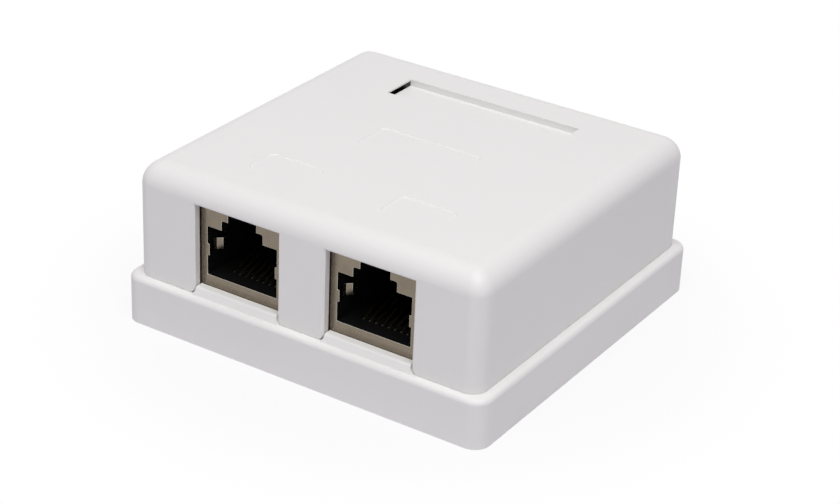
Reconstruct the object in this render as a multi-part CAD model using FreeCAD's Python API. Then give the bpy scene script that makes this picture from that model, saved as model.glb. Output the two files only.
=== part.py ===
import FreeCAD, Part
import math
import os

V = FreeCAD.Vector

# Surface-mounted ethernet wall socket with two shielded ports, in millimetres.
# X runs to the right as seen from the port side, Y runs from the ports to the back,
# Z runs up from the wall. The origin is the middle of the underside.

# Base: an outer skirt and an inner wall under one ledge, round a floor
BASE_W = 60.0
BASE_D = 58.4
BASE_CORNER = 2.4
SKIRT_T = 1.6
LEDGE_SIDE = 1.45
LEDGE_END = 1.15
LEDGE_T = 1.6
LEDGE_ROUND = 0.8
LEDGE_DROP = 0.6
FLOOR_T = 1.4
RIM_T = 1.2
RIM_H = 3.0
GROOVE_RIB_T = 1.0
GROOVE_RIB_PITCH = 12.0

# Cover: a five-sided shell that drops over the rim and rests just above the ledge
BOX_H = 24.9
COVER_CORNER = 2.4
COVER_EDGE = 3.3
COVER_WALL = 1.6
COVER_FRONT_WALL = 1.2
COVER_ROOF = 1.8
COVER_INNER_CORNER = 1.6
COVER_INNER_EDGE = 1.2
SEAM = 0.05
RIM_GAP = 0.3

# Latch pips on the rim and their grooves in the cover
PIP_R = 0.5
PIP_RISE = 0.22
PIP_LENGTH = 8.0
PIP_Y = 12.0
PIP_UP = 1.7
GROOVE_MORE = 0.28

# Port windows in the cover and the sills below them
PORT_INSET = 1.725
WINDOW_W = 14.3
WINDOW_LAP = 0.1
WINDOW_EDGE = 0.25
LEG_ROUND = 0.95
SILL_RISE = 1.2
SILL_ROUND = 0.4
SILL_SET_BACK = 0.15
SILL_END_GAP = 0.2
SILL_BACK_GAP = 0.08

# Top of the cover
POCKET_W = 29.4
POCKET_D = 6.3
POCKET_X = 0.2
POCKET_BACK = 8.15
POCKET_DEEP = 1.04
POCKET_SKIN = 1.3
POCKET_BORDER = 1.2
SLOT_REACH = 2.0
SLOT_PAST = 0.6
SLOT_LIP = 0.25
FRAME_DEEP = 0.12
FRAME_SLOPE = 0.2
FRAME_CORNER = 1.35
WIDE_FRAME_W = 17.3
WIDE_FRAME_D = 7.5
WIDE_FRAME_X = 0.65
WIDE_FRAME_BACK = 30.95
PORT_FRAME_W = 9.6
PORT_FRAME_D = 6.1
PORT_FRAME_SHIFT = 0.45
PORT_FRAME_BACK = 13.95
HOLD_RIB_T = 1.0
HOLD_RIB_L = 10.0
HOLD_RIB_SPREAD = 9.0
HOLD_GAP = 0.3

# Break-out panels for the cables in the back of the cover
PANEL_W = 8.4
PANEL_H = 6.4
PANEL_ROUND = 2.2
PANEL_GROOVE = 0.35
PANEL_DEEP = 0.6
NOTCH_W = 7.2

# Circuit board
BOARD_T = 1.6
BOARD_SIDE_GAP = 0.35
BOARD_FRONT_GAP = 0.75
BOARD_BACK_GAP = 1.0
BOARD_CORNER = 1.0
ROOF_ROOM = 1.8

# Jack: folded metal can round a moulded housing
CAN_W = 15.9
CAN_H = 13.3
CAN_D = 16.3
CAN_T = 0.25
CAN_BEND = 0.45
CAN_GAP = 0.23
HOUSING_GAP = 0.05
PLUG_Z = 2.33
PLUG_W = 11.9
PLUG_H = 7.47
STEP_W = 7.0
STEP_H = 1.5
STEP_ROUND = 0.3
LATCH_W = 4.8
LATCH_H = 1.6
CAVITY_D = 13.0
CARRIER_W = 11.2
CARRIER_H = 7.0

# Ground springs: leaves behind the sides of the opening that bulge into the plug cavity
SPRING_Z = 7.1
SPRING_H = 1.8
SPRING_TAB = 0.33
SPRING_T = 0.2
SPRING_BEHIND = 0.3
SPRING_IN = 0.8
SPRING_START = 2.0
SPRING_CROWN = 2.95
SPRING_D = 4.8
SPRING_BEND = 0.25
SPRING_GAP = 0.15

# Legs of the can
LEG_W = 1.5
LEG_Y = 9.2
LEG_DOWN = 0.7
LEG_SLOT_GAP = 0.25

# Contact wires
WIRES = 8
WIRE_PITCH = 1.02
WIRE_W = 0.36
WIRE_T = 0.3
WIRE_BEND = 0.22
WIRE_RUN_Z = 1.3
WIRE_FRONT = 2.9
WIRE_RISE = 0.65
WIRE_END_Y = 11.6
WIRE_END_Z = 4.75
WIRE_ROW_Y = 14.5
WIRE_STAGGER = 1.0
WIRE_SLOT_W = 0.6
WIRE_SLOT_GAP = 0.2
PIN_DOWN = 0.7
PIN_HOLE_W = 0.8

# Locating pegs under each jack housing
PEG_W = 2.6
PEG_SPREAD = 11.4
PEG_BACK = 6.5
PEG_GAP = 0.1
PEG_DOWN = 0.3

# Terminal blocks: four ways each, in two rows with a lane between them
WAYS = 4
WAY_PITCH = 3.9
BLOCK_END = 2.5
BLOCK_D = 7.8
BLOCK_H = 12.2
BLOCK_FRONT_GAP = 0.52
BLOCK_BACK_GAP = 0.8
WIRE_WAY_W = 1.2
WIRE_WAY_H = 5.8
LEAD_IN_W = 2.6
LEAD_IN_H = 1.3
TOWER_SLIT_W = 0.6
TOWER_SLIT_H = 2.6
BLOCK_CHAMFER = 0.6
BLADE_W = 2.9
BLADE_T = 0.4
BLADE_UP = 1.0
BLADE_TOP_GAP = 1.6
BLADE_GAP = 0.1
BLADE_SLIT_W = 0.34
BLADE_SLIT_H = 4.6
BLADE_MOUTH_W = 1.4
BLADE_MOUTH_H = 0.9
BLADE_PIN_W = 0.7
BLADE_HOLE_W = 1.0

# Board and clamp screws, and the pilots that they bite into
SCREW_CORE_R = 0.75
SCREW_HEAD_R = 1.7
SCREW_HEAD_H = 1.3
SCREW_TIP_Z = 1.6
RECESS_W = 0.45
RECESS_R = 1.05
RECESS_DEEP = 0.8
PILOT_GAP = 0.05
HOLE_GAP = 0.45
PILOT_BELOW = 0.4

# Posts that carry the board; those without a screw have a peg
POST_W = 4.0
POST_IN = 3.0
POST_PEG_W = 1.8
POST_PEG_UP = 0.6
WEB_T = 1.0

# Wall screw holes and the cable entry in the floor
WALL_HOLE_R = 2.1
WALL_HOLE_IN = 4.25
WALL_PAD_W = 7.0
WALL_PAD_H = 0.8
BOARD_NOTCH_W = 8.0
BOARD_NOTCH_CORNER = 1.2
ENTRY_GAP = 0.8
ENTRY_BACK_GAP = 1.35
ENTRY_UNDER = 0.35
ENTRY_CORNER = 1.2

# Cable clamps, one on each side of the cable entry
CLAMP_D = 5.0
CLAMP_Z = 5.2
CLAMP_T = 0.8
CLAMP_R = 3.1
CLAMP_SCREW_X = 6.0
CLAMP_FOOT = 2.2
CLAMP_POST_W = 4.4
CLAMP_SIDE_GAP = 1.75
CLAMP_BACK_GAP = 1.0
CLAMP_SCREW_L = 3.6

# Cover on the base, and the levels below its roof
COVER_W = BASE_W - 2 * LEDGE_SIDE
COVER_D = BASE_D - 2 * LEDGE_END
COVER_FRONT = -COVER_D / 2
COVER_X_IN = COVER_W / 2 - COVER_WALL
COVER_FRONT_IN = COVER_FRONT + COVER_FRONT_WALL
COVER_BACK_IN = COVER_D / 2 - COVER_WALL
ROOF_Z = BOX_H - COVER_ROOF
CAN_TOP = ROOF_Z - ROOF_ROOM
BOARD_TOP = CAN_TOP - CAN_H
BOARD_Z = BOARD_TOP - BOARD_T
LEDGE_Z = BOARD_TOP - LEDGE_DROP
RIM_TOP = LEDGE_Z + RIM_H
COVER_Z = LEDGE_Z + SEAM
WINDOW_TOP = CAN_TOP - WINDOW_LAP
POCKET_Y = COVER_D / 2 - POCKET_BACK - POCKET_D / 2

# Rim inside the cover, and the room inside the rim
RIM_X = COVER_X_IN - RIM_GAP
RIM_FRONT = COVER_FRONT_IN + RIM_GAP
RIM_BACK = COVER_BACK_IN - RIM_GAP
RIM_CORNER = COVER_INNER_CORNER - RIM_GAP
ROOM_X = RIM_X - RIM_T
ROOM_BACK = RIM_BACK - RIM_T

# Places of what the room holds, from the front to the back
PORT_X = ROOM_X / 2 - PORT_INSET
CAN_FACE = COVER_FRONT_IN + CAN_GAP
CAN_BACK = CAN_FACE + CAN_D
WIRE_END_DEPTH = CAN_FACE + WIRE_END_Y
BLOCK_W = (WAYS - 1) * WAY_PITCH + 2 * BLOCK_END
CLAMP_X = ROOM_X - CLAMP_SIDE_GAP - CLAMP_FOOT - CLAMP_SCREW_X
CLAMP_Y = ROOM_BACK - CLAMP_BACK_GAP - CLAMP_D / 2
BOARD_X = ROOM_X - BOARD_SIDE_GAP
BOARD_FRONT = RIM_FRONT + RIM_T + BOARD_FRONT_GAP
BOARD_BACK = CLAMP_Y - CLAMP_D / 2 - BOARD_BACK_GAP
FRONT_ROW = CAN_BACK + BLOCK_FRONT_GAP + BLOCK_D / 2
REAR_ROW = BOARD_BACK - BLOCK_BACK_GAP - BLOCK_D / 2
LANE_Y = (FRONT_ROW + REAR_ROW) / 2
WALL_HOLE_X = ROOM_X - WALL_HOLE_IN
POST_X = (PORT_X + BLOCK_W / 2 + ROOM_X) / 2
POST_FRONT = BOARD_FRONT + POST_IN
POST_BACK = BOARD_BACK - POST_IN
SIDES = {"left": -1, "right": 1}
ROWS = {"front": FRONT_ROW, "rear": REAR_ROW}
SCREW_PLACES = [(-POST_X, POST_FRONT), (POST_X, POST_BACK)]
PEG_PLACES = [(POST_X, POST_FRONT), (-POST_X, POST_BACK)]


def box(x0, x1, y0, y1, z0, z1):
    """Box between two corners."""
    return Part.makeBox(x1 - x0, y1 - y0, z1 - z0, V(x0, y0, z0))


def rod(x, y, z0, z1, radius):
    """Upright cylinder."""
    return Part.makeCylinder(radius, z1 - z0, V(x, y, z0))


def rounded_block(x0, x1, y0, y1, z0, z1, corner):
    """Box with its four upright edges rounded."""
    solid = box(x0, x1, y0, y1, z0, z1)
    upright = [e for e in solid.Edges if abs(e.Vertexes[0].Z - e.Vertexes[-1].Z) > (z1 - z0) / 2]
    return solid.makeFillet(corner, upright)


def pillar(x, y, z0, z1, width, depth=None):
    """Upright box round a middle in X and Y, square unless a depth is given."""
    half_d = (depth or width) / 2
    return box(x - width / 2, x + width / 2, y - half_d, y + half_d, z0, z1)


def top_edges(solid):
    """Edges that lie in the highest plane of a solid."""
    top = solid.BoundBox.ZMax
    return [e for e in solid.Edges if e.BoundBox.ZMin > top - SEAM / 2]


def prism(outline, place, push):
    """Flat outline, each of its pairs turned into a point by place, pushed along a vector."""
    points = [place(*pair) for pair in outline]
    return Part.Face(Part.makePolygon(points + points[:1])).extrude(push)


def slab(outline, y, push):
    """Outline of (x, z) pairs pushed along Y from y."""
    return prism(outline, lambda x, z: V(x, y, z), V(0, push, 0))


def ribbon(path, thick):
    """Outline of a strip of one thickness along a flat path, mitred at its corners."""
    normals = []
    for (a, b), (c, d) in zip(path, path[1:]):
        length = math.hypot(c - a, d - b)
        normals.append(((b - d) / length, (c - a) / length))
    one_side, other_side = [], []
    for (a, b), (p, q), (r, s) in zip(path, normals[:1] + normals, normals + normals[-1:]):
        scale = thick / 2 / (1 + p * r + q * s)
        one_side.append((a + (p + r) * scale, b + (q + s) * scale))
        other_side.append((a - (p + r) * scale, b - (q + s) * scale))
    return one_side + other_side[::-1]


def eased(path, cut):
    """Path with each inner corner cut across, one distance before and after it."""
    points = path[:1]
    for before, corner, after in zip(path, path[1:], path[2:]):
        for other in (before, after):
            share = cut / math.dist(corner, other)
            points.append(tuple(c + (o - c) * share for c, o in zip(corner, other)))
    return points + path[-1:]


def wire_places(port):
    """Centre of each contact wire in X, and its pin in Y."""
    first = port - (WIRES - 1) / 2 * WIRE_PITCH
    row = CAN_FACE + WIRE_ROW_Y
    return [(first + i * WIRE_PITCH, row + (i % 2 * 2 - 1) * WIRE_STAGGER) for i in range(WIRES)]


def way_places(port):
    """Centre of each terminal way in X."""
    first = port - (WAYS - 1) / 2 * WAY_PITCH
    return [first + i * WAY_PITCH for i in range(WAYS)]


def clamp_screw_places():
    """Middle of each clamp screw."""
    return [(s * CLAMP_X + d * CLAMP_SCREW_X, CLAMP_Y) for s in SIDES.values() for d in (-1, 1)]


def opening_outline(port):
    """Stepped outline of the plug opening, wide below and narrow for the latch above."""
    level = BOARD_TOP + PLUG_Z
    half = []
    for width, height in ((PLUG_W, PLUG_H), (STEP_W, STEP_H), (LATCH_W, LATCH_H)):
        half.append((width / 2, level))
        level += height
        half.append((width / 2, level))
    return [(port + x, z) for x, z in half] + [(port - x, z) for x, z in reversed(half)]


def base_groove():
    """Space between the skirt and the inner wall, open below and bridged by ribs."""
    half_w = BASE_W / 2 - SKIRT_T
    half_d = BASE_D / 2 - SKIRT_T
    roof = LEDGE_Z - LEDGE_T
    groove = rounded_block(-half_w, half_w, -half_d, half_d, 0, roof, BASE_CORNER - SKIRT_T)
    groove = groove.cut(rim_block(0, roof))
    count = int(half_w / GROOVE_RIB_PITCH)
    ribs = []
    for i in range(-count, count + 1):
        place = i * GROOVE_RIB_PITCH
        half_t = GROOVE_RIB_T / 2
        ribs.append(box(place - half_t, place + half_t, -BASE_D / 2, BASE_D / 2, 0, roof))
        ribs.append(box(-BASE_W / 2, BASE_W / 2, place - half_t, place + half_t, 0, roof))
    return groove.cut(ribs)


def rim_block(z0, z1, inset=0):
    """Block inside the outer face of the rim, or inside its inner face with the rim as inset."""
    corner = max(RIM_CORNER - inset, SEAM)
    return rounded_block(-RIM_X + inset, RIM_X - inset, RIM_FRONT + inset, RIM_BACK - inset,
                         z0, z1, corner)


def latch_bar(side, y, radius):
    """Round bar along Y at the face of the rim, for a latch pip or its groove."""
    x = side * (RIM_X - PIP_R + PIP_RISE)
    return Part.makeCylinder(radius, PIP_LENGTH, V(x, y - PIP_LENGTH / 2, LEDGE_Z + PIP_UP), V(0, 1, 0))


def sill(port):
    """Raised step of the base below a jack, sloped in front, its ends flared under the cover."""
    bottom = LEDGE_Z - LEDGE_T
    top = LEDGE_Z + SILL_RISE
    half = WINDOW_W / 2 - SILL_END_GAP
    reach = WINDOW_W / 2 + LEG_ROUND
    heel = COVER_Z + LEG_ROUND
    radius = LEG_ROUND + SILL_END_GAP
    toe = LEDGE_ROUND - BASE_D / 2
    back = CAN_FACE - SILL_BACK_GAP

    def flare(out):
        low = V(port + out * reach, toe, heel - radius)
        slant = radius * math.sqrt(0.5)
        middle = V(port + out * (reach - slant), toe, heel - slant)
        return Part.Arc(low, middle, V(port + out * half, toe, heel)).toShape()

    corners = [(half, heel), (half, top), (-half, top), (-half, heel)]
    foot = [(-reach, heel - radius), (-reach, bottom), (reach, bottom), (reach, heel - radius)]
    edges = [flare(-1), flare(1)]
    for run in (corners, foot):
        points = [V(port + x, toe, z) for x, z in run]
        edges += [Part.LineSegment(a, b).toShape() for a, b in zip(points, points[1:])]
    across = Part.Face(Part.Wire(Part.__sortEdges__(edges))).extrude(V(0, back - toe, 0))
    profile = [(toe, bottom), (toe, LEDGE_Z), (COVER_FRONT + SILL_SET_BACK, top), (back, top),
               (back, bottom)]
    step = across.common(prism(profile, lambda y, z: V(port - reach, y, z), V(2 * reach, 0, 0)))
    nose = [e for e in top_edges(step) if e.BoundBox.YMax < back - SILL_ROUND]
    return step.makeFillet(SILL_ROUND, nose)


def floor_posts():
    """Posts for the board and the clamps, webs to the rim, pegs and the wall screw pads."""
    posts = [pillar(0, LANE_Y, 0, BOARD_Z, POST_W)]
    posts += [pillar(x, y, 0, CLAMP_Z, CLAMP_POST_W) for x, y in clamp_screw_places()]
    for x, y in SCREW_PLACES + PEG_PLACES:
        wall = math.copysign(RIM_X - RIM_T / 2, x)
        posts.append(pillar(x, y, 0, BOARD_Z, POST_W))
        posts.append(box(min(x, wall), max(x, wall), y - WEB_T / 2, y + WEB_T / 2, 0, BOARD_Z - WEB_T))
    posts += [pillar(x, y, BOARD_Z, BOARD_TOP + POST_PEG_UP, POST_PEG_W) for x, y in PEG_PLACES]
    for side in SIDES.values():
        posts.append(pillar(side * WALL_HOLE_X, LANE_Y, 0, FLOOR_T + WALL_PAD_H, WALL_PAD_W))
    return posts


def base_cuts():
    """Screw pilots, wall screw holes, cable entry, cable notches and clear ways for the jacks."""
    pilot = 2 * (SCREW_CORE_R + PILOT_GAP)
    cuts = [pillar(x, y, SCREW_TIP_Z - PILOT_BELOW, BOARD_Z, pilot) for x, y in SCREW_PLACES]
    deep = CLAMP_Z + CLAMP_T - CLAMP_SCREW_L - PILOT_BELOW
    cuts += [pillar(x, y, deep, CLAMP_Z, pilot) for x, y in clamp_screw_places()]
    entry_x = CLAMP_X - CLAMP_SCREW_X - CLAMP_POST_W / 2 - ENTRY_GAP
    cuts.append(rounded_block(-entry_x, entry_x, BOARD_BACK - ENTRY_UNDER, ROOM_BACK - ENTRY_BACK_GAP,
                              0, FLOOR_T, ENTRY_CORNER))
    for side in SIDES.values():
        cuts.append(rod(side * WALL_HOLE_X, LANE_Y, 0, FLOOR_T + WALL_PAD_H, WALL_HOLE_R))
        middle = RIM_FRONT + RIM_T / 2
        cuts.append(pillar(side * PORT_X, middle, LEDGE_Z, RIM_TOP, CAN_W + 2 * RIM_GAP, RIM_T))
        middle = RIM_BACK - RIM_T / 2
        cuts.append(pillar(side * CLAMP_X, middle, LEDGE_Z, RIM_TOP, NOTCH_W, RIM_T))
    return cuts


def base():
    """Moulded base: skirt, ledge, rim, floor, posts and sills in one piece."""
    body = rounded_block(-BASE_W / 2, BASE_W / 2, -BASE_D / 2, BASE_D / 2, 0, LEDGE_Z, BASE_CORNER)
    body = body.makeFillet(LEDGE_ROUND, top_edges(body))
    body = body.fuse(rim_block(0, RIM_TOP))
    body = body.cut(rim_block(FLOOR_T, RIM_TOP, RIM_T))
    body = body.cut(base_groove())
    added = floor_posts()
    for side in SIDES.values():
        added.append(sill(side * PORT_X))
        added += [latch_bar(side, y, PIP_R) for y in (-PIP_Y, PIP_Y)]
    body = body.fuse(added)
    return body.cut(base_cuts()).removeSplitter()


def window_outline(port, y, grow):
    """Outline of a port window at one depth, open below, the feet beside it rounded."""
    left = port - WINDOW_W / 2 - grow
    right = port + WINDOW_W / 2 + grow
    top = WINDOW_TOP + grow
    radius = LEG_ROUND - grow
    lean = radius * (1 - math.sqrt(0.5))
    heel = COVER_Z + radius

    def foot(x, out):
        start = V(x + out * radius, y, COVER_Z)
        middle = V(x + out * lean, y, COVER_Z + lean)
        return Part.Arc(start, middle, V(x, y, heel)).toShape()

    corners = [V(left, y, heel), V(left, y, top), V(right, y, top), V(right, y, heel)]
    edges = [Part.LineSegment(a, b).toShape() for a, b in zip(corners, corners[1:])]
    edges += [foot(left, -1), foot(right, 1)]
    sole = (V(left - radius, y, COVER_Z), V(right + radius, y, COVER_Z))
    edges.append(Part.LineSegment(*sole).toShape())
    return Part.Wire(Part.__sortEdges__(edges))


def window(port):
    """Cut for one port window, with a narrow bevel round its front edge."""
    through = window_outline(port, COVER_FRONT, 0)
    bevel = [window_outline(port, COVER_FRONT, WINDOW_EDGE),
             window_outline(port, COVER_FRONT + WINDOW_EDGE, 0)]
    return [Part.Face(through).extrude(V(0, COVER_FRONT_WALL, 0)), Part.makeLoft(bevel, True, True)]


def breakout_groove(cable):
    """Arched groove that marks a break-out panel in the back of the cover."""
    back = COVER_D / 2

    def arch(shrink):
        half = PANEL_W / 2 - shrink
        top = COVER_Z + PANEL_H - shrink
        panel = box(cable - half, cable + half, back - PANEL_DEEP, back, COVER_Z - PANEL_H, top)
        along = [e for e in top_edges(panel) if e.BoundBox.XLength < SEAM]
        return panel.makeFillet(PANEL_ROUND - shrink, along)

    return arch(0).cut(arch(PANEL_GROOVE))


def shallow_frame(x, back, width, depth):
    """Cut for a shallow recess in the top face, with rounded corners and sloping sides."""
    block = rounded_block(x - width / 2, x + width / 2, back - depth, back,
                          BOX_H - FRAME_DEEP, BOX_H + FRAME_SLOPE, FRAME_CORNER)
    low = [e for e in block.Edges if e.BoundBox.ZMax < BOX_H]
    return block.makeChamfer(FRAME_SLOPE, low)


def cover_inside():
    """Hollow of the cover, bevelled under the roof."""
    hollow = rounded_block(-COVER_X_IN, COVER_X_IN, COVER_FRONT_IN, COVER_BACK_IN, COVER_Z, ROOF_Z,
                           COVER_INNER_CORNER)
    return hollow.makeChamfer(COVER_INNER_EDGE, top_edges(hollow))


def cover_ribs():
    """Thicker roof under the label pocket, and ribs that hold each jack down."""
    half_w = POCKET_W / 2 + POCKET_BORDER
    half_d = POCKET_D / 2 + POCKET_BORDER
    pad_z = BOX_H - POCKET_DEEP - POCKET_SKIN
    ribs = [box(POCKET_X - half_w, POCKET_X + half_w, POCKET_Y - half_d, POCKET_Y + half_d,
                pad_z, ROOF_Z)]
    middle = CAN_FACE + CAN_D / 2
    for port in (s * PORT_X for s in SIDES.values()):
        for x in (port - HOLD_RIB_SPREAD / 2, port + HOLD_RIB_SPREAD / 2):
            ribs.append(box(x - HOLD_RIB_T / 2, x + HOLD_RIB_T / 2, middle - HOLD_RIB_L / 2,
                            middle + HOLD_RIB_L / 2, CAN_TOP + HOLD_GAP, ROOF_Z))
    return ribs


def cover():
    """Moulded cover shell with its windows, label pocket, slot and shallow frames."""
    shell = rounded_block(-COVER_W / 2, COVER_W / 2, -COVER_D / 2, COVER_D / 2, COVER_Z, BOX_H,
                          COVER_CORNER)
    shell = shell.makeFillet(COVER_EDGE, top_edges(shell))
    shell = shell.cut(cover_inside()).fuse(cover_ribs())
    pocket_left = POCKET_X - POCKET_W / 2
    pocket_front = POCKET_Y - POCKET_D / 2
    cuts = [box(pocket_left, pocket_left + POCKET_W, pocket_front, pocket_front + POCKET_D,
                BOX_H - POCKET_DEEP, BOX_H)]
    cuts.append(box(pocket_left - SLOT_REACH, pocket_left, pocket_front,
                    pocket_front + POCKET_D + SLOT_PAST, BOX_H - POCKET_DEEP - POCKET_SKIN,
                    BOX_H - SLOT_LIP))
    cuts.append(shallow_frame(WIDE_FRAME_X, COVER_FRONT + WIDE_FRAME_BACK,
                              WIDE_FRAME_W, WIDE_FRAME_D))
    for side in SIDES.values():
        port = side * PORT_X
        cuts += window(port)
        cuts.append(shallow_frame(port + PORT_FRAME_SHIFT, COVER_FRONT + PORT_FRAME_BACK,
                                  PORT_FRAME_W, PORT_FRAME_D))
        cuts.append(breakout_groove(side * CLAMP_X))
        cuts += [latch_bar(side, y, PIP_R + GROOVE_MORE) for y in (-PIP_Y, PIP_Y)]
    return shell.cut(cuts).removeSplitter()


def board():
    """Circuit board with its holes, slots and the two notches that clear the wall screws."""
    plate = rounded_block(-BOARD_X, BOARD_X, BOARD_FRONT, BOARD_BACK, BOARD_Z, BOARD_TOP, BOARD_CORNER)
    screw_hole = 2 * (SCREW_CORE_R + HOLE_GAP)
    holes = [(x, y, screw_hole, screw_hole) for x, y in SCREW_PLACES]
    peg_hole = POST_PEG_W + 2 * PEG_GAP
    holes += [(x, y, peg_hole, peg_hole) for x, y in PEG_PLACES]
    peg_hole = PEG_W + 2 * PEG_GAP
    for side in SIDES.values():
        port = side * PORT_X
        holes += [(x, y, PIN_HOLE_W, PIN_HOLE_W) for x, y in wire_places(port)]
        holes += [(x, y, BLADE_HOLE_W, BLADE_HOLE_W) for x in way_places(port) for y in ROWS.values()]
        for end in (-1, 1):
            holes.append((port + end * PEG_SPREAD / 2, CAN_FACE + PEG_BACK, peg_hole, peg_hole))
            holes.append((port + end * (CAN_W - CAN_T) / 2, CAN_FACE + LEG_Y,
                          CAN_T + 2 * LEG_SLOT_GAP, LEG_W + 2 * LEG_SLOT_GAP))
    cuts = [pillar(x, y, BOARD_Z, BOARD_TOP, width, depth) for x, y, width, depth in holes]
    half = BOARD_NOTCH_W / 2
    for x in (-WALL_HOLE_X, WALL_HOLE_X):
        left, right = sorted((x - math.copysign(half, x), x + math.copysign(BOARD_NOTCH_W, x)))
        cuts.append(rounded_block(left, right, LANE_Y - half, LANE_Y + half, BOARD_Z, BOARD_TOP,
                                  BOARD_NOTCH_CORNER))
    return plate.cut(cuts)


def jack_can(port):
    """Outer block of the can, with its folded edges rounded."""
    half = CAN_W / 2
    block = box(port - half, port + half, CAN_FACE, CAN_BACK, BOARD_TOP, CAN_TOP)
    folds = [e for e in block.Edges if e.BoundBox.YLength > CAN_D / 2 and e.BoundBox.ZMin > BOARD_TOP]
    return block.makeFillet(CAN_BEND, folds)


def shell_opening(port):
    """Cut for the opening in the front of the can, its step corners rounded."""
    cut = slab(opening_outline(port), CAN_FACE, CAN_T)
    level = BOARD_TOP + PLUG_Z + PLUG_H + STEP_H
    steps = []
    for edge in cut.Edges:
        middle = edge.CenterOfMass
        at_step = abs(abs(middle.x - port) - STEP_W / 2) < CAN_T and abs(middle.z - level) < CAN_T
        if at_step and edge.BoundBox.YLength > CAN_T / 2:
            steps.append(edge)
    return cut.makeFillet(STEP_ROUND, steps)


def ground_spring(port, side):
    """Leaf behind the side of the opening that bulges into the cavity, and the tab at its root."""
    low = BOARD_TOP + SPRING_Z - SPRING_H
    wall = port + side * PLUG_W / 2
    behind = wall + side * SPRING_BEHIND
    crown = wall - side * (SPRING_IN - SPRING_T / 2)
    rise = SPRING_CROWN - SPRING_START
    path = [(behind, CAN_T / 2), (behind, SPRING_START), (crown, SPRING_CROWN),
            (behind, SPRING_CROWN + rise), (behind, SPRING_D)]
    leaf = prism(ribbon(eased(path, SPRING_BEND), SPRING_T), lambda x, y: V(x, CAN_FACE + y, low),
                 V(0, 0, SPRING_H))
    edge = wall - side * SPRING_TAB
    tab = box(min(behind, edge), max(behind, edge), CAN_FACE, CAN_FACE + CAN_T, low, low + SPRING_H)
    return leaf.fuse(tab)


def jack_shell(port):
    """Folded metal can, open below, with a stepped front opening, springs and legs."""
    half = CAN_W / 2 - CAN_T
    hollow = box(port - half, port + half, CAN_FACE + CAN_T, CAN_BACK - CAN_T, BOARD_TOP,
                 CAN_TOP - CAN_T)
    shell = jack_can(port).cut([hollow, shell_opening(port)])
    added = [ground_spring(port, side) for side in SIDES.values()]
    y = CAN_FACE + LEG_Y
    for side in SIDES.values():
        x = port + side * (CAN_W - CAN_T) / 2
        added.append(pillar(x, y, BOARD_Z - LEG_DOWN, BOARD_TOP, CAN_T, LEG_W))
    return shell.fuse(added).removeSplitter()


def jack_housing(port):
    """Moulded body with the plug cavity, slots for the wires and springs, and two pegs."""
    half = CAN_W / 2 - CAN_T - HOUSING_GAP
    front = CAN_FACE + CAN_T + HOUSING_GAP
    back = CAN_BACK - CAN_T - HOUSING_GAP
    body = box(port - half, port + half, front, back, BOARD_TOP, CAN_TOP - CAN_T - HOUSING_GAP)
    pegs = [pillar(port + s * PEG_SPREAD / 2, CAN_FACE + PEG_BACK, BOARD_Z - PEG_DOWN, BOARD_TOP, PEG_W)
            for s in SIDES.values()]
    body = body.fuse(pegs)
    cavity_back = CAN_FACE + CAVITY_D
    cuts = [slab(opening_outline(port), front, cavity_back - front)]
    wide = CARRIER_W / 2 + HOUSING_GAP
    cuts.append(box(port - wide, port + wide, cavity_back, back, BOARD_TOP,
                    BOARD_TOP + CARRIER_H + HOUSING_GAP))
    slot_z = BOARD_TOP + WIRE_RUN_Z - WIRE_T / 2 - WIRE_SLOT_GAP
    slot_front = CAN_FACE + WIRE_FRONT - WIRE_T / 2 - WIRE_SLOT_GAP
    for x, pin_y in wire_places(port):
        cuts.append(box(x - WIRE_SLOT_W / 2, x + WIRE_SLOT_W / 2, slot_front, cavity_back,
                        slot_z, BOARD_TOP + PLUG_Z))
    reach = PLUG_W / 2 + SPRING_BEHIND + SPRING_T / 2 + SPRING_GAP
    spring_z = BOARD_TOP + SPRING_Z
    cuts.append(box(port - reach, port + reach, front, CAN_FACE + SPRING_D + SPRING_GAP,
                    spring_z - SPRING_H - SPRING_GAP, spring_z + SPRING_GAP))
    return body.cut(cuts)


def contact_carrier(port):
    """Insert that closes the back of the cavity and guides the pins down to the board."""
    front = CAN_FACE + CAVITY_D + HOUSING_GAP
    back = CAN_BACK - CAN_T - HOUSING_GAP
    body = box(port - CARRIER_W / 2, port + CARRIER_W / 2, front, back, BOARD_TOP,
               BOARD_TOP + CARRIER_H)
    slot_top = BOARD_TOP + WIRE_RUN_Z + WIRE_T / 2 + WIRE_SLOT_GAP
    cuts = []
    for x, pin_y in wire_places(port):
        end = pin_y + WIRE_T / 2 + WIRE_SLOT_GAP
        if end > front:
            cuts.append(box(x - WIRE_SLOT_W / 2, x + WIRE_SLOT_W / 2, front, end, BOARD_TOP, slot_top))
    return body.cut(cuts)


def jack_contacts(port):
    """Spring wires: pin, run under the cavity floor, front bend and free end inside the cavity."""
    front = CAN_FACE + WIRE_FRONT
    run = BOARD_TOP + WIRE_RUN_Z
    wires = []
    for x, pin_y in wire_places(port):
        path = [(pin_y, BOARD_Z - PIN_DOWN), (pin_y, run), (front, run), (front, run + WIRE_RISE),
                (WIRE_END_DEPTH, BOARD_TOP + WIRE_END_Z)]
        outline = ribbon(eased(path, WIRE_BEND), WIRE_T)
        wires.append(prism(outline, lambda y, z: V(x - WIRE_W / 2, y, z), V(WIRE_W, 0, 0)))
    return Part.makeCompound(wires)


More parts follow.
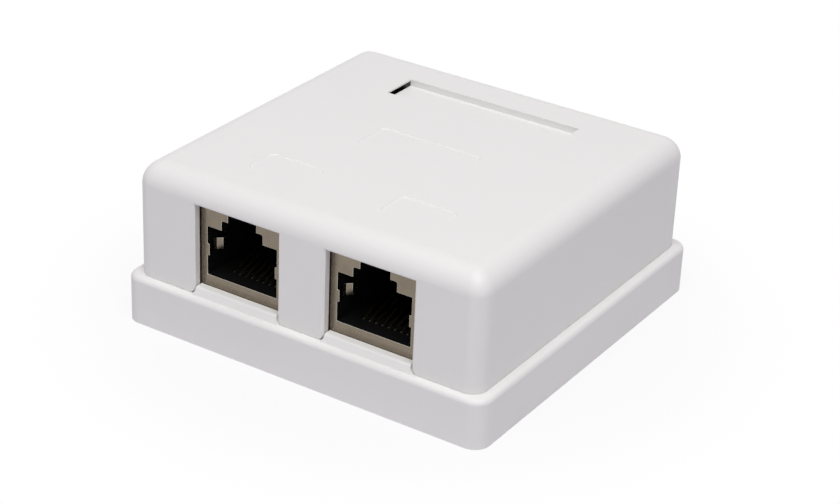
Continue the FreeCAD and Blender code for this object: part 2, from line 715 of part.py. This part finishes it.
def terminal_block(port, y):
    """Moulded block with a wire way, a lead-in and a blade pocket for each of its ways."""
    top = BOARD_TOP + BLOCK_H
    front = y - BLOCK_D / 2
    body = box(port - BLOCK_W / 2, port + BLOCK_W / 2, front, front + BLOCK_D, BOARD_TOP, top)
    long_edges = [e for e in top_edges(body) if e.BoundBox.XLength > BLOCK_W / 2]
    body = body.makeChamfer(BLOCK_CHAMFER, long_edges)
    cuts = []
    for x in way_places(port):
        cuts.append(box(x - WIRE_WAY_W / 2, x + WIRE_WAY_W / 2, front, front + BLOCK_D,
                        top - WIRE_WAY_H, top))
        mouth = [(x - LEAD_IN_W / 2, top), (x + LEAD_IN_W / 2, top), (x, top - LEAD_IN_H)]
        cuts.append(slab(mouth, front, BLOCK_D))
        half_w = BLADE_W / 2 + BLADE_GAP
        half_t = BLADE_T / 2 + BLADE_GAP
        cuts.append(box(x - half_w, x + half_w, y - half_t, y + half_t, BOARD_TOP,
                        top - BLADE_TOP_GAP + BLADE_GAP))
    for x in way_places(port)[1:]:
        slit = x - WAY_PITCH / 2
        cuts.append(box(slit - TOWER_SLIT_W / 2, slit + TOWER_SLIT_W / 2, front, front + BLOCK_D,
                        top - TOWER_SLIT_H, top))
    return body.cut(cuts)


def terminal_blade(x, y):
    """Slotted blade that cuts into a wire, with one pin through the board."""
    low = BOARD_TOP + BLADE_UP
    high = BOARD_TOP + BLOCK_H - BLADE_TOP_GAP
    side = [(BLADE_PIN_W / 2, BOARD_Z - PIN_DOWN), (BLADE_PIN_W / 2, low), (BLADE_W / 2, low),
            (BLADE_W / 2, high), (BLADE_MOUTH_W / 2, high),
            (BLADE_SLIT_W / 2, high - BLADE_MOUTH_H), (BLADE_SLIT_W / 2, high - BLADE_SLIT_H)]
    outline = [(x + a, z) for a, z in side] + [(x - a, z) for a, z in reversed(side)]
    return slab(outline, y - BLADE_T / 2, BLADE_T)


def screw(x, y, seat, length):
    """Blunt screw for plastic, with a cross recess, its head on a seat."""
    top = seat + SCREW_HEAD_H
    head = rod(x, y, seat, top, SCREW_HEAD_R)
    shank = rod(x, y, seat - length, seat, SCREW_CORE_R)
    cross = [box(x - RECESS_R, x + RECESS_R, y - RECESS_W / 2, y + RECESS_W / 2, top - RECESS_DEEP, top),
             box(x - RECESS_W / 2, x + RECESS_W / 2, y - RECESS_R, y + RECESS_R, top - RECESS_DEEP, top)]
    return head.fuse(shank).cut(cross)


def cable_clamp(cable):
    """Bent metal saddle: an arch over the cable with a drilled foot on each side."""
    front = CLAMP_Y - CLAMP_D / 2
    reach = CLAMP_SCREW_X + CLAMP_FOOT
    outer = Part.makeCylinder(CLAMP_R + CLAMP_T, CLAMP_D, V(cable, front, CLAMP_Z), V(0, 1, 0))
    inner = Part.makeCylinder(CLAMP_R, CLAMP_D, V(cable, front, CLAMP_Z), V(0, 1, 0))
    feet = box(cable - reach, cable + reach, front, front + CLAMP_D, CLAMP_Z, CLAMP_Z + CLAMP_T)
    below = box(cable - reach, cable + reach, front, front + CLAMP_D, CLAMP_Z - reach, CLAMP_Z)
    hole = 2 * (SCREW_CORE_R + HOLE_GAP)
    holes = [pillar(cable + s * CLAMP_SCREW_X, CLAMP_Y, CLAMP_Z, CLAMP_Z + CLAMP_T, hole)
             for s in SIDES.values()]
    return outer.fuse(feet).cut([inner, below] + holes).removeSplitter()


def parts():
    """Every named piece of the socket."""
    made = {"base": base(), "cover": cover(), "circuit_board": board()}
    for name, side in SIDES.items():
        port = side * PORT_X
        made["jack_shell_" + name] = jack_shell(port)
        made["jack_housing_" + name] = jack_housing(port)
        made["contact_carrier_" + name] = contact_carrier(port)
        made["jack_contacts_" + name] = jack_contacts(port)
        made["cable_clamp_" + name] = cable_clamp(side * CLAMP_X)
        for row, y in ROWS.items():
            made["terminal_block_" + row + "_" + name] = terminal_block(port, y)
            blades = [terminal_blade(x, y) for x in way_places(port)]
            made["terminal_blades_" + row + "_" + name] = Part.makeCompound(blades)
    board_screws = [screw(x, y, BOARD_TOP, BOARD_TOP - SCREW_TIP_Z) for x, y in SCREW_PLACES]
    clamp_screws = [screw(x, y, CLAMP_Z + CLAMP_T, CLAMP_SCREW_L) for x, y in clamp_screw_places()]
    made["board_screws"] = Part.makeCompound(board_screws)
    made["clamp_screws"] = Part.makeCompound(clamp_screws)
    return made


os.makedirs("parts", exist_ok=True)
for node, shape in parts().items():
    shape.exportStep("parts/" + node + ".step")
    print(node, len(shape.Solids), round(shape.Volume, 2), shape.isValid())
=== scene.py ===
import math

import bpy
from mathutils import Matrix, Vector


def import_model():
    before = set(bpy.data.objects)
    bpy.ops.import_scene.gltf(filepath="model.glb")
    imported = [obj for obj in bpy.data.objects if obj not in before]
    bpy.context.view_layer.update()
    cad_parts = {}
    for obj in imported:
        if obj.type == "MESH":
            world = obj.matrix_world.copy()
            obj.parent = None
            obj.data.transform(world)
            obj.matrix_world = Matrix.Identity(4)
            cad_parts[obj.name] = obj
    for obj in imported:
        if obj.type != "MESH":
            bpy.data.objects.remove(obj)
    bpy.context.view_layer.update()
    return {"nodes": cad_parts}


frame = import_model()
NODES = frame["nodes"]
MM = 0.001
WHITE = (1, 1, 1, 1)

# Camera, worked out from the photograph's perspective
CAMERA_AT = Vector((151.894, -239.524, 155.115)) * MM
CAMERA_TARGET = Vector((1.051, 0.012, 8.519)) * MM
CAMERA_ROLL = math.radians(2.533)
CAMERA_LENS = 94.21
SENSOR = 36.0
CLIP_START = 0.01

# Floor, in metres: white veils it by this share at the middle, and wholly from the fade's end on
FLOOR_SIZE = 4.0
FLOOR_DROP = 0.02 * MM
FLOOR_COLOR = (0.72, 0.71, 0.75, 1)
FLOOR_ROUGH = 0.9
FLOOR_SPECULAR = 0.1
FLOOR_VEIL = 0.85
FADE = (0.03, 0.06)

# World light
WORLD_LIGHT = 0.29
WORLD_TINT = (0.96, 0.935, 1.0, 1)

# Lamps: place, target, size in metres, power in watts, colour
LAMPS = {
    "key_softbox": ((0.13, -0.21, 0.62), (0, 0, 0.02), 0.45, 3.5, (0.985, 1.0, 0.97)),
}

# Sockets of the Mix node by number, because its modes share their names
MIX_FACTOR = 0
MIX_NUMBERS = (2, 3)
MIX_COLORS = (6, 7)
NUMBER_OUT = 0
COLOR_OUT = 2

# Noises: cells in a millimetre, detail and, where it is not the usual one, roughness
PLASTIC_TONE = (0.08, 3.0)
PLASTIC_GRAIN = (4.0, 2.0, 0.6)
PLASTIC_SINK = (0.05, 1.0)
METAL_TONE = (0.35, 3.0, 0.6)
BOARD_WEAVE = (2.5, 2.0)

# Detail and roughness of the drawn lines, whose number in a millimetre is each metal's own
METAL_LINES = (3.0, 0.65)

# Most values of a noise lie in this range
NOISE_RANGE = (0.3, 0.7)

# Plastics: two shades, roughness, and the shader's other inputs
PLASTICS = {
    "cover_white": ((0.815, 0.795, 0.795, 1), (0.835, 0.815, 0.815, 1), 0.48,
                    {"IOR": 1.53, "Specular IOR Level": 0.4}),
    "jack_black": ((0.003, 0.003, 0.0035, 1), (0.005, 0.005, 0.0055, 1), 0.55,
                   {"Specular IOR Level": 0.12}),
    "terminal_grey": ((0.52, 0.52, 0.50, 1), (0.56, 0.56, 0.545, 1), 0.42, {}),
}

# What the grain takes from and adds to the roughness, and depths in millimetres
GRAIN_ROUGH = (-0.04, 0.06)
GRAIN_DEPTH = 0.012
SINK_DEPTH = 0.05

# Metals: two shades, roughness and, for some, the drawn lines' stretch, number in a millimetre and depth
METALS = {
    "nickel_sheet": ((0.19, 0.161, 0.125, 1), (0.265, 0.226, 0.176, 1), 0.26, (1, 1, 0.3), 2.0, 0.0006),
    # The cut edges' colour is much lighter than the sheet's: partly bare cut metal, partly a painted
    # highlight along the cans' edges and lower lip
    "nickel_cut_edge_and_highlight": ((0.52, 0.49, 0.44, 1), (0.62, 0.59, 0.53, 1), 0.3),
    # The contacts' gold is darkened far below gold's own colour: painted shade, so that they show only as
    # dim dots deep in the port
    "contact_gold": ((0.09, 0.07, 0.04, 1), (0.117, 0.093, 0.055, 1), 0.36),
    "tin_plate": ((0.60, 0.60, 0.57, 1), (0.70, 0.70, 0.68, 1), 0.3),
    "zinc_sheet": ((0.50, 0.51, 0.52, 1), (0.62, 0.63, 0.64, 1), 0.34, (0.15, 1, 1)),
    "zinc_screw": ((0.48, 0.49, 0.50, 1), (0.58, 0.59, 0.60, 1), 0.3),
}

# What the drawn lines take from and add to the roughness
LINES_ROUGH = (-0.07, 0.09)

# Board: colours, scales of the tracks and of the patches in which they turn, each followed by the
# values that its ramp runs between, then the ramp from cut edge to face, and depths in millimetres
RESIST = (0.012, 0.10, 0.035, 1)
RESIST_ON_COPPER = (0.028, 0.16, 0.058, 1)
BARE_LAMINATE = (0.40, 0.37, 0.19, 1)
BOARD_ROUGH = 0.3
TRACK_SCALE = 0.33
TRACK_EDGE = (0.62, 0.68)
PATCH_SCALE = 0.12
PATCH_TURN = (0.49, 0.51)
CUT_TO_FACE = (0.4, 0.6)
COPPER_DEPTH = 0.02
WEAVE_DEPTH = 0.005

# Broken edges: widths in millimetres, and the angles that count as flat and as sharp
CAN_EDGE = 0.05
BLOCK_EDGE = 0.08
CLAMP_EDGE = 0.05
EDGE_SEGMENTS = 2
FLAT_ANGLE = math.radians(0.5)
SHARP_ANGLE = math.radians(40)
WELD_GAP = 0.0005 * MM


def shader_tree(name):
    """New node material, its tree and its Principled shader."""
    material = bpy.data.materials.new(name)
    material.use_nodes = True
    tree = material.node_tree
    return material, tree, tree.nodes["Principled BSDF"]


def add(tree, kind, **values):
    """Node of one kind with its inputs set by name."""
    node = tree.nodes.new(kind)
    for name, value in values.items():
        node.inputs[name.replace("_", " ")].default_value = value
    return node


def place(tree, stretch=(1, 1, 1)):
    """Object coordinates in millimetres, times a factor for each axis."""
    where = tree.nodes.new("ShaderNodeTexCoord")
    scale = add(tree, "ShaderNodeMapping", Scale=[s / MM for s in stretch])
    tree.links.new(where.outputs["Object"], scale.inputs["Vector"])
    return scale.outputs["Vector"]


def noise(tree, vector, per_mm, detail, rough=0.5):
    """Noise with a given number of cells in a millimetre."""
    node = add(tree, "ShaderNodeTexNoise", Scale=per_mm, Detail=detail, Roughness=rough)
    tree.links.new(vector, node.inputs["Vector"])
    return node.outputs["Fac"]


def remap(tree, value, source, target=(0.0, 1.0), curve="LINEAR"):
    """Value moved from one range to another."""
    node = add(tree, "ShaderNodeMapRange", From_Min=source[0], From_Max=source[1],
               To_Min=target[0], To_Max=target[1])
    node.interpolation_type = curve
    tree.links.new(value, node.inputs["Value"])
    return node.outputs["Result"]


def compute(tree, operation, *values):
    """Result of a math operation on other nodes' outputs."""
    node = tree.nodes.new("ShaderNodeMath")
    node.operation = operation
    for value, socket in zip(values, node.inputs):
        tree.links.new(value, socket)
    return node.outputs["Value"]


def blend_colors(tree, value, first, second):
    """Colour that runs with a value from first to second, each a colour or another node's output."""
    node = tree.nodes.new("ShaderNodeMix")
    node.data_type = "RGBA"
    for socket, color in zip(MIX_COLORS, (first, second)):
        if isinstance(color, tuple):
            node.inputs[socket].default_value = color
        else:
            tree.links.new(color, node.inputs[socket])
    tree.links.new(value, node.inputs[MIX_FACTOR])
    return node.outputs[COLOR_OUT]


def blend_shaders(tree, value, first, second, end):
    """Gives an end node a shader that runs with a value from first to second."""
    mix = tree.nodes.new("ShaderNodeMixShader")
    for output, socket in zip((value, first, second), mix.inputs):
        tree.links.new(output, socket)
    tree.links.new(mix.outputs["Shader"], tree.nodes[end].inputs["Surface"])


def bump(tree, shader, heights):
    """Stack of bumps, each a height value and its depth in millimetres."""
    normal = None
    for value, depth in heights:
        node = add(tree, "ShaderNodeBump", Strength=1.0, Distance=depth * MM)
        tree.links.new(value, node.inputs["Height"])
        if normal:
            tree.links.new(normal, node.inputs["Normal"])
        normal = node.outputs["Normal"]
    tree.links.new(normal, shader.inputs["Normal"])


def finish_surface(tree, shader, tone, shades, texture, rough, around):
    """Colour from a cloudy tone, and roughness spread around its own value by a finer texture."""
    tree.links.new(blend_colors(tree, tone, *shades), shader.inputs["Base Color"])
    rough_range = [rough + step for step in around]
    tree.links.new(remap(tree, texture, NOISE_RANGE, rough_range), shader.inputs["Roughness"])


def plastic(name):
    """Moulded plastic: fine spark grain, faint sink waves and slight changes of colour."""
    color, shade, rough, inputs = PLASTICS[name]
    material, tree, shader = shader_tree(name)
    for key, value in inputs.items():
        shader.inputs[key].default_value = value
    vector = place(tree)
    grain = noise(tree, vector, *PLASTIC_GRAIN)
    tone = noise(tree, vector, *PLASTIC_TONE)
    finish_surface(tree, shader, tone, (color, shade), grain, rough, GRAIN_ROUGH)
    bump(tree, shader, ((noise(tree, vector, *PLASTIC_SINK), SINK_DEPTH), (grain, GRAIN_DEPTH)))
    return material


def metal(name):
    """Plated metal: a cloudy tone, and drawn lines along the axis with the smallest stretch factor."""
    return plated(name, *METALS[name])


def plated(name, color, shade, rough, stretch=(1, 1, 1), per_mm=3.0, depth=0.004):
    """Metal from the values of its row in the table."""
    material, tree, shader = shader_tree(name)
    shader.inputs["Metallic"].default_value = 1.0
    tone = noise(tree, place(tree), *METAL_TONE)
    lines = noise(tree, place(tree, stretch), per_mm, *METAL_LINES)
    finish_surface(tree, shader, tone, (color, shade), lines, rough, LINES_ROUGH)
    bump(tree, shader, ((lines, depth),))
    return material


def tracks(tree, vector, direction):
    """Rows of tracks along one axis of the board, one where there is copper."""
    rows = add(tree, "ShaderNodeTexWave", Scale=TRACK_SCALE, Distortion=0.0)
    rows.bands_direction = direction
    tree.links.new(vector, rows.inputs["Vector"])
    return remap(tree, rows.outputs["Fac"], TRACK_EDGE)


def turned_tracks(tree, vector):
    """Tracks that turn from patch to patch, one where there is copper."""
    patches = add(tree, "ShaderNodeTexVoronoi", Scale=PATCH_SCALE)
    patches.distance = "CHEBYCHEV"
    tree.links.new(vector, patches.inputs["Vector"])
    copper = tree.nodes.new("ShaderNodeMix")
    turned = remap(tree, patches.outputs["Color"], PATCH_TURN)
    tree.links.new(turned, copper.inputs[MIX_FACTOR])
    for socket, direction in zip(MIX_NUMBERS, "XY"):
        tree.links.new(tracks(tree, vector, direction), copper.inputs[socket])
    return copper.outputs[NUMBER_OUT]


def board_faces(tree):
    """One on the board's two faces, nought on its cut edges and the walls of its holes."""
    surface = tree.nodes.new("ShaderNodeNewGeometry")
    axes = tree.nodes.new("ShaderNodeSeparateXYZ")
    tree.links.new(surface.outputs["Normal"], axes.inputs["Vector"])
    return remap(tree, compute(tree, "ABSOLUTE", axes.outputs["Z"]), CUT_TO_FACE)


def board_laminate(name):
    """Green resist over copper tracks, and bare glass laminate on the cut edges."""
    material, tree, shader = shader_tree(name)
    vector = place(tree)
    copper = turned_tracks(tree, vector)
    green = blend_colors(tree, copper, RESIST, RESIST_ON_COPPER)
    color = blend_colors(tree, board_faces(tree), BARE_LAMINATE, green)
    tree.links.new(color, shader.inputs["Base Color"])
    shader.inputs["Roughness"].default_value = BOARD_ROUGH
    bump(tree, shader, ((copper, COPPER_DEPTH), (noise(tree, vector, *BOARD_WEAVE), WEAVE_DEPTH)))
    return material


def weld(node):
    """Joins vertices that lie in one place, which drops the faces that have no area."""
    joined = node.modifiers.new("weld", "WELD")
    joined.merge_threshold = WELD_GAP


def break_edges(node, width, edge):
    """Bevels the sharp edges of a node, and gives them a material of their own where there is one."""
    weld(node)
    flat = node.modifiers.new("flat", "DECIMATE")
    flat.decimate_type = "DISSOLVE"
    flat.angle_limit = FLAT_ANGLE
    broken = node.modifiers.new("edges", "BEVEL")
    broken.width = width * MM
    broken.segments = EDGE_SEGMENTS
    broken.use_clamp_overlap = False
    broken.limit_method = "ANGLE"
    broken.angle_limit = SHARP_ANGLE
    if edge:
        node.data.materials.append(edge)
        broken.material = len(node.data.materials) - 1


def dress(material, *names, bevel=0.0, edge=None):
    """Gives CAD nodes a material and, where asked, broken edges."""
    for name in names:
        node = NODES[name]
        node.data.materials.clear()
        node.data.materials.append(material)
        if bevel:
            break_edges(node, bevel, edge)


def sides(*stems):
    """Names of the left and right pieces of each kind."""
    return ["%s_%s" % (stem, side) for stem in stems for side in ("left", "right")]


def dress_nodes():
    """Every CAD node with its material."""
    dress(plastic("cover_white"), "base", "cover")
    weld(NODES["cover"])
    # The cans' bevelled edges get the lighter cut-edge metal, which is partly a painted highlight
    dress(metal("nickel_sheet"), *sides("jack_shell"), bevel=CAN_EDGE, edge=metal("nickel_cut_edge_and_highlight"))
    dress(plastic("jack_black"), *sides("jack_housing", "contact_carrier"))
    # The contacts get the darkened gold, which is painted shade
    dress(metal("contact_gold"), *sides("jack_contacts"))
    dress(board_laminate("solder_resist"), "circuit_board")
    dress(plastic("terminal_grey"), *sides("terminal_block_front", "terminal_block_rear"), bevel=BLOCK_EDGE)
    dress(metal("tin_plate"), *sides("terminal_blades_front", "terminal_blades_rear"))
    dress(metal("zinc_sheet"), *sides("cable_clamp"), bevel=CLAMP_EDGE)
    dress(metal("zinc_screw"), "board_screws", "clamp_screws")


def put(name, data):
    """New object in the scene."""
    thing = bpy.data.objects.new(name, data)
    bpy.context.scene.collection.objects.link(thing)
    return thing


def background_rays(tree):
    """One for the rays that see the white background: camera, glossy and transmission rays."""
    rays = tree.nodes.new("ShaderNodeLightPath")
    seen = rays.outputs["Is Camera Ray"]
    for name in ("Is Glossy Ray", "Is Transmission Ray"):
        seen = compute(tree, "MAXIMUM", seen, rays.outputs[name])
    return seen


def floor():
    """Pale floor that keeps the soft shadow near the object and fades to white around it."""
    mesh = bpy.data.meshes.new("floor")
    half = FLOOR_SIZE / 2
    corners = [(-half, -half), (half, -half), (half, half), (-half, half)]
    mesh.from_pydata([(x, y, -FLOOR_DROP) for x, y in corners], [], [(0, 1, 2, 3)])
    material, tree, shader = shader_tree("floor_white")
    shader.inputs["Roughness"].default_value = FLOOR_ROUGH
    shader.inputs["Specular IOR Level"].default_value = FLOOR_SPECULAR
    shader.inputs["Base Color"].default_value = FLOOR_COLOR
    where = tree.nodes.new("ShaderNodeTexCoord")
    far = tree.nodes.new("ShaderNodeVectorMath")
    far.operation = "LENGTH"
    tree.links.new(where.outputs["Object"], far.inputs[0])
    veil = remap(tree, far.outputs["Value"], FADE, (FLOOR_VEIL, 1.0), "SMOOTHSTEP")
    seen = compute(tree, "MULTIPLY", veil, background_rays(tree))
    white = add(tree, "ShaderNodeEmission", Color=WHITE, Strength=1.0)
    blend_shaders(tree, seen, shader.outputs["BSDF"], white.outputs["Emission"], "Material Output")
    mesh.materials.append(material)
    put("floor", mesh)


def world():
    """White for the rays that see the background, a soft cool light for all others."""
    scene_world = bpy.data.worlds.new("studio")
    bpy.context.scene.world = scene_world
    scene_world.use_nodes = True
    tree = scene_world.node_tree
    soft = tree.nodes["Background"]
    soft.inputs["Color"].default_value = WORLD_TINT
    soft.inputs["Strength"].default_value = WORLD_LIGHT
    white = add(tree, "ShaderNodeBackground", Color=WHITE, Strength=1.0)
    blend_shaders(tree, background_rays(tree), soft.outputs["Background"], white.outputs["Background"],
                  "World Output")


def aim(thing, at, target, roll=0.0):
    """Places a lamp or camera and turns it to its target."""
    back = (Vector(at) - Vector(target)).normalized()
    right = Vector((0, 0, 1)).cross(back).normalized()
    up = back.cross(right)
    turned_right = right * math.cos(roll) + up * math.sin(roll)
    turned_up = up * math.cos(roll) - right * math.sin(roll)
    matrix = Matrix((turned_right, turned_up, back)).transposed().to_4x4()
    matrix.translation = Vector(at)
    thing.matrix_world = matrix


def lamps():
    """Soft square lamps."""
    for name, (at, target, size, power, color) in LAMPS.items():
        light = bpy.data.lights.new(name, "AREA")
        light.size = size
        light.energy = power
        light.color = color
        aim(put(name, light), at, target)


def camera():
    """Camera at the photograph's place."""
    data = bpy.data.cameras.new("camera")
    data.sensor_width = SENSOR
    data.lens = CAMERA_LENS
    data.clip_start = CLIP_START
    seen_from = put("camera", data)
    aim(seen_from, CAMERA_AT, CAMERA_TARGET, CAMERA_ROLL)
    bpy.context.scene.camera = seen_from


dress_nodes()
floor()
world()
lamps()
camera()
bpy.context.scene.view_settings.view_transform = "Standard"
